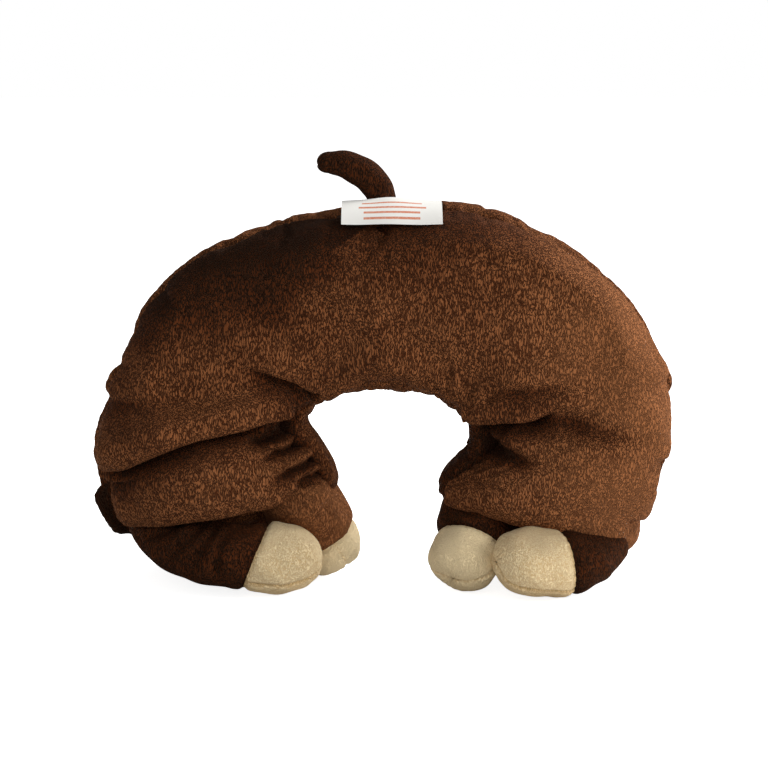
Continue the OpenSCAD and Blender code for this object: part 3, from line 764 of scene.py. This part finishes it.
# How light the pile is painted on each sleeve and paw, as painted light and shade for how much light
# reaches each, and how much darker its lower half is painted, as painted shade.
underside_shade = 0.12
sleeve_light_and_shade = {"foot_left": 0.2, "foot_right": 0.08, "hand_left": 1.1, "hand_right": 0.12}
paw_light_and_shade = {"foot_left": 0.85, "foot_right": 0.78, "hand_left": 1.4, "hand_right": 1.2}
for name, plan in limbs.items():
    grid, seam_at, run, to_side, pull_crease_shade = stuffed_limb(**plan)
    # The sleeve is painted darker by its ankle seam, and along the pull creases as painted shade; its lower
    # half gets painted shade too.
    shade = sleeve_light_and_shade[name] - 0.2 * np.exp(-((run / 1.4) ** 2)) - 0.25 * pull_crease_shade + 0 * to_side
    shade[:, :limb_half + 1] -= underside_shade
    fields = [("pile_tone_and_shade", shade[:seam_at + 1])]
    sleeve = piece_of(f"{name}_leg", grid[:seam_at + 1], round_=True, start=True, fields=fields)
    sleeve.data.materials.append(brown_pile)
    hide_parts(f"{name}_sleeve")
    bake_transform(sleeve)
    shade = paw_light_and_shade[name] - 0.5 * np.exp(-((run / 1.2) ** 2)) - 0.45 * np.exp(-((to_side / 0.9) ** 2))
    for half in ("upper", "under"):
        if half == "upper":
            part = np.concatenate([grid[seam_at:, limb_half:], grid[seam_at:, :1]], 1)
            tone = np.concatenate([shade[seam_at:, limb_half:], shade[seam_at:, :1]], 1)
            own = [f"{name}_paw_top", f"{name}_stuffing"]
        else:
            part = grid[seam_at:, :limb_half + 1]
            tone = shade[seam_at:, :limb_half + 1] - underside_shade
            own = [f"{name}_sole"]
        panel = piece_of(f"{name}_{half}", part, end=True, fields=[("pile_tone_and_shade", tone)])
        panel.data.materials.append(cream_pile)
        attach(panel, name)
        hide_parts(*own)

# ---- Tail ----
# A narrow plush tube, turned and lightly stuffed, tapering to a rounded tip. Its long seam shows a
# little thread by the root, where it is caught in the bag's top seam behind the label.
# The line's points are x, y, z and radius.
tail_line = [(-0.5, 7, 194, 6.8), (-0.9, 7.5, 202, 7.4), (-5.2, 7.8, 210.4, 8.0), (-12.8, 7.8, 216.4, 7.9),
             (-21.2, 7.8, 220, 7.0), (-28.4, 7.8, 221, 5.6)]
tail_tip = np.array([-34.4, 7.8, 219.4])
tail_seam = 0.62   # how far round the tube, as a share of a turn


def ringed(middle, radius, turn):
    """Circles square to a line: each point is the line's point plus the radius times the cosine of its turn
    one way and the sine the other way, with one of the two ways kept level."""
    _, side, up = frames_along(middle, level=(0.0, 1.0, 0.0))
    angle = -2 * np.pi * turn
    rim = side[:, None] * np.cos(angle)[..., None] + up[:, None] * np.sin(angle)[..., None]
    return middle[:, None] + (radius + 0 * turn)[..., None] * rim


body = through(np.array(tail_line), np.linspace(0, len(tail_line) - 1, 72))
close = np.radians(np.linspace(0, 88, 24)[1:])[:, None]
last, last_radius = body[-1, :3], body[-1, 3]
end = np.concatenate([last + (tail_tip - last) * np.sin(close), last_radius * np.cos(close) ** 0.8], 1)
row = np.concatenate([body, end])
turn = np.linspace(0, 1, 73)[:-1][None, :]
grid = ringed(row[:, :3], row[:, 3:4], turn)
run = run_along(row[:, :3])[:, None]
round_way = np.abs(turn - tail_seam)
to_seam = np.minimum(round_way, 1 - round_way) * 2 * np.pi * row[:, 3:4]
lift = 0.35 * np.sin(run / 3.1 + 2 * np.pi * turn) * np.sin(4 * np.pi * turn + run / 5)
lift = lift - 0.9 * np.exp(-((to_seam / 0.8) ** 2))
lift = lift + 0.5 * np.cos(2 * np.pi * turn * 7) * np.exp(-((run - 6) / 4) ** 2)
shade = 0.12 - 0.2 * np.exp(-((to_seam / 0.7) ** 2)) + 0 * run
grid = grid + outward_round(grid) * lift[..., None]
tail = piece_of("tail_tube", grid, round_=True, start=True, end=True, fields=[("pile_tone_and_shade", shade)])
tail.data.materials.append(brown_pile)
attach(tail, "tail")
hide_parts("tail_sleeve", "tail_stuffing")

# ---- Label ----
# A wide satin ribbon sewn into the top seam. It arches over the tail's root and lies down the back of
# the crown with its cut hem free. The print on it is a few plain bars.
label_width = 51.0
label_middle = 4.0
crown_core_z = 152.5     # the crown's section under the label is an oval about this height
crown_half_depth = 39
crown_half_height = 48.5
across = np.linspace(-1, 1, 73)[None, :]
down = np.linspace(0, 1, 49)[:, None]
bend = np.radians(2 + 38 * down)
off = 1.4 + 2.2 * down + 1.6 * np.exp(-((across + 0.02) / 0.42) ** 2) * np.exp(-((down - 0.12) / 0.3) ** 2)
off = off + 0.25 * np.sin(5 * across + 2 * down) * down - 0.5 * np.abs(across) ** 3 * (1 - down)
label_x = label_middle + across * label_width / 2 + 0 * down
label_y = -(crown_half_depth + off) * np.sin(bend)
label_z = crown_core_z + (crown_half_height + off) * np.cos(bend)
label_grid = np.stack([label_x, label_y, label_z], -1)
ribbon = piece_of("label_ribbon_cloth", label_grid)
sheet_map = ribbon.data.uv_layers.new(name="ribbon")
corner = np.empty(len(ribbon.data.loops), int)
ribbon.data.loops.foreach_get("vertex_index", corner)
flat_map = np.stack([(across + 1) / 2 + 0 * down, down + 0 * across], -1).reshape(-1, 2)
sheet_map.data.foreach_set("uv", flat_map[corner].ravel())
satin, tree, shader = new_material("satin_ribbon")
place = node(tree, "ShaderNodeUVMap", uv_map="ribbon")
split = tree.nodes.new("ShaderNodeSeparateXYZ")
tree.links.new(place.outputs[0], split.inputs[0])


def between(position, low, high):
    """1 where the position lies between low and high, 0 elsewhere."""
    above = sums(tree, "GREATER_THAN", position, low)
    return sums(tree, "MULTIPLY", above, sums(tree, "LESS_THAN", position, high))


# Each bar is its left and right end, then its upper and lower edge, as shares of the ribbon.
bars = [(0.20, 0.80, 0.34, 0.39), (0.17, 0.84, 0.50, 0.56),
        (0.22, 0.78, 0.66, 0.72), (0.22, 0.78, 0.82, 0.88)]
printed = 0.0
for left, right, top, bottom in bars:
    in_width = between(split.outputs[0], left, right)
    in_height = between(split.outputs[1], top, bottom)
    printed = sums(tree, "ADD", printed, sums(tree, "MULTIPLY", in_width, in_height), clamp=True)
here = tree.nodes.new("ShaderNodeTexCoord").outputs["Object"]
worn = node(tree, "ShaderNodeTexNoise", Vector=here, Scale=900.0, Detail=2.0)
ink = sums(tree, "MULTIPLY", printed, sums(tree, "MULTIPLY_ADD", worn.outputs[0], 0.9, clamp=True))
threads = node(
    tree, "ShaderNodeTexWave", Vector=here, Scale=1300.0, Distortion=0.6, Detail=1.0, bands_direction="Z",
)
cloth_white = mixed(tree, threads.outputs["Fac"], (0.80, 0.80, 0.78), (0.86, 0.86, 0.84))
tree.links.new(mixed(tree, ink, cloth_white, (0.62, 0.20, 0.10)), shader.inputs["Base Color"])
weave = node(tree, "ShaderNodeBump", Strength=0.25, Distance=0.0001, Height=threads.outputs["Fac"])
tree.links.new(weave.outputs[0], shader.inputs["Normal"])
set_inputs(shader, Roughness=0.5, Sheen_Weight=0.1)
ribbon.data.materials.append(satin)
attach(ribbon, "label")
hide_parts("label")

# ---- Head ----
# A round stuffed disc on the front of the crown: a brown back, a brown ring and a pale face panel,
# joined by turned seams, with a smaller stuffed muzzle sewn on low.
head_middle = np.array([head_x, 69.5, head_z])
head_deep = 28.0
muzzle_middle = head_middle + [0, 20, -15]
muzzle_reach = 22.0
muzzle_deep = 18.0
pole = 89.5


def stuffed_panel(name, ball, from_, to, gathers_round, material, tone, replaced):
    """Part of a flattened ball of middle, reach and depth that faces +y: the reach times the cosine of the
    latitude goes round by longitude, and the depth times its sine goes forward. Latitude runs in degrees
    from -90 behind to 90 in front. Pleats fade away from each sewn edge."""
    middle, reach, deep = ball
    lat = np.radians(np.linspace(from_, to, 64))[:, None]
    lon = np.linspace(0, 2 * np.pi, 161)[None, :-1]
    x = middle[0] + reach * np.cos(lat) * np.cos(lon)
    y = middle[1] + deep * np.sin(lat) + 0 * lon
    z = middle[2] - reach * np.cos(lat) * np.sin(lon)
    grid = np.stack([x, y, z], -1)
    lift = 0.5 * np.sin(x / 7.1 + 1.0) * np.sin(z / 6.3 + x / 13)
    dark = 0 * x
    for edge in (from_, to):
        if abs(edge) < pole:
            run = np.radians(np.abs(np.degrees(lat) - edge)) * reach + 0 * lon
            wave = np.abs(np.cos(gathers_round * lon + 0.9 * np.sin(3 * lon + edge))) ** 0.8 - 0.6
            lift = lift - 1.2 * np.exp(-((run / 1.3) ** 2)) + 0.8 * wave * np.exp(-run / 5)
            dark = dark + 0.4 * np.exp(-((run / 1.2) ** 2))
    grid = grid + outward_round(grid) * lift[..., None]
    on_crown = from_ == -pole
    if on_crown:
        press = ease((reach - np.hypot(grid[..., 0], grid[..., 2] - middle[2])) / 26)
        grid[..., 1] = np.maximum(grid[..., 1] - 4.5 * press, neck_y)
    fields = [("pile_tone_and_shade", tone - dark)]
    piece = piece_of(name, grid, round_=True, start=on_crown, end=to == pole, fields=fields)
    piece.data.materials.append(material)
    if on_crown:
        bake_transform(piece)
    else:
        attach(piece, "head")
    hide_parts(*replaced)


head_ball = (head_middle, head_reach, head_deep)
muzzle_ball = (muzzle_middle, muzzle_reach, muzzle_deep)
face_edge = 40
stuffed_panel("head_rear", head_ball, -pole, 0, 24, brown_pile, 0.5, ["head_back"])
stuffed_panel("head_ring", head_ball, 0, face_edge, 24, brown_pile, 0.55,
              ["head_front", "head_stuffing"])
stuffed_panel("face_pile", head_ball, face_edge, pole, 24, cream_pile, 0.6, ["face_panel"])
stuffed_panel("muzzle_pile", muzzle_ball, -42, pole, 12, cream_pile, 0.66,
              ["muzzle_panel", "muzzle_stuffing"])


# Eyes, their washers and the nose are moulded plastic, so those solids stay and get their finish.
def moulded(name, colour, rough, coat, grain):
    """Moulded plastic: a faint mottle of colour and a fine uneven polish."""
    made, tree, shader = new_material(name)
    here = tree.nodes.new("ShaderNodeTexCoord").outputs["Object"]
    mottle = node(tree, "ShaderNodeTexNoise", Vector=here, Scale=grain, Detail=3.0)
    darker = tuple(c * 0.8 for c in colour)
    tree.links.new(mixed(tree, mottle.outputs[0], darker, colour), shader.inputs["Base Color"])
    spread = node(tree, "ShaderNodeMapRange", Value=mottle.outputs[0], From_Min=0.3, From_Max=0.7)
    set_inputs(spread, To_Min=rough * 0.8, To_Max=rough * 1.3)
    tree.links.new(spread.outputs[0], shader.inputs["Roughness"])
    set_inputs(shader, Coat_Weight=coat, Coat_Roughness=0.06)
    return made


glossy_black = moulded("glossy_black", (0.012, 0.010, 0.010), 0.16, 0.6, 300.0)
satin_black = moulded("satin_black", (0.016, 0.013, 0.012), 0.38, 0.1, 500.0)
washer_white = moulded("washer_white", (0.55, 0.55, 0.53), 0.45, 0.0, 400.0)
finishes = {
    "eye_left": glossy_black,
    "eye_right": glossy_black,
    "nose": satin_black,
    "eye_washer_left": washer_white,
    "eye_washer_right": washer_white,
}
for name, material in finishes.items():
    moulding = frame["nodes"][name].data
    moulding.materials.clear()
    moulding.materials.append(material)

# The mouth is one row of thick thread, laid in stitches that each rise and dive.
steps = 180
stitches = 9
smile_reach = 12.0
thread_radius = 0.62
bow = np.radians(np.linspace(-145, -35, steps))
rising = 0.55 * np.abs(np.sin(np.linspace(0, stitches * np.pi, steps))) ** 0.6
skin_y = muzzle_middle[1] + muzzle_deep * np.sqrt(1 - (smile_reach / muzzle_reach) ** 2)
smile_x = muzzle_middle[0] + smile_reach * np.cos(bow)
smile_z = muzzle_middle[2] + smile_reach * np.sin(bow)
smile = np.stack([smile_x, skin_y + 0.35 + rising, smile_z], -1)
turn = np.linspace(0, 1, 13)[:-1][None, :]
twist = np.linspace(0, 60, steps)[:, None]
thick = thread_radius * (1 + 0.16 * np.cos(twist - 4 * np.pi * turn))
stitch = ringed(smile, thick, turn)
mouth = piece_of("mouth_thread_row", stitch, round_=True, start=True, end=True)
thread, tree, shader = new_material("mouth_thread_cotton")
here = tree.nodes.new("ShaderNodeTexCoord").outputs["Object"]
strand = node(tree, "ShaderNodeTexNoise", Vector=here, Scale=1600.0, Detail=2.0)
thread_brown = mixed(tree, strand.outputs[0], (0.16, 0.06, 0.04), (0.30, 0.12, 0.08))
tree.links.new(thread_brown, shader.inputs["Base Color"])
set_inputs(shader, Roughness=0.7)
mouth.data.materials.append(thread)
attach(mouth, "head")
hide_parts("mouth_stitch")

# ---- Ears ----
# Two round pads, each of a brown back and a pale front, turned and lightly stuffed, and sewn to the
# head's ring seam along a short straight edge.
ear_reach = 15.0
ear_bulge = 3.2
ear_z = 150.0


def ear_half(name, side_sign, face, material, replaced):
    """A disc of polar rings, bulging as the square root of one less the radius squared, with its sewn
    edge pressed flat against the head. face is 1 for the front and -1 for the back."""
    rings = np.sin(np.linspace(0, np.pi / 2, 40))[:, None]
    lon = np.linspace(0, 2 * np.pi, 97)[None, :-1]
    ear_x = side_sign * (head_reach + 1.5 + 0.75 * ear_reach)
    hollow = 1 - 0.35 * (face > 0) * np.exp(-((rings / 0.55) ** 2))
    bulge = ear_bulge * np.sqrt(np.maximum(0, 1 - rings**2)) * hollow
    edge = ear_reach * (1 + 0.012 * np.cos(17 * lon))
    x = ear_x + rings * np.cos(lon) * edge
    z = ear_z + rings * np.sin(lon) * edge
    flat = side_sign * (head_reach - 0.8)
    x = np.maximum(x, flat) if side_sign > 0 else np.minimum(x, flat)
    uneven = 0.3 * np.sin(x / 3.1) * np.sin(z / 2.7) * (1 - rings**4)
    y = head_middle[1] + face * (0.05 + bulge + uneven)
    grid = np.stack([x, y, z], -1)[::-1, ::face]
    tone = 0.6 - 0.35 * np.exp(-(((1 - rings[::-1]) * ear_reach / 1.1) ** 2)) + 0 * lon
    piece = piece_of(name, grid, round_=True, end=True, fields=[("pile_tone_and_shade", tone)])
    piece.data.materials.append(material)
    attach(piece, "ear_left" if side_sign < 0 else "ear_right")
    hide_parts(replaced)


for ear, side_sign in (("ear_left", -1), ("ear_right", 1)):
    ear_half(f"{ear}_rear_pile", side_sign, -1, brown_pile, f"{ear}_back")
    ear_half(f"{ear}_face_pile", side_sign, 1, cream_pile, f"{ear}_front")
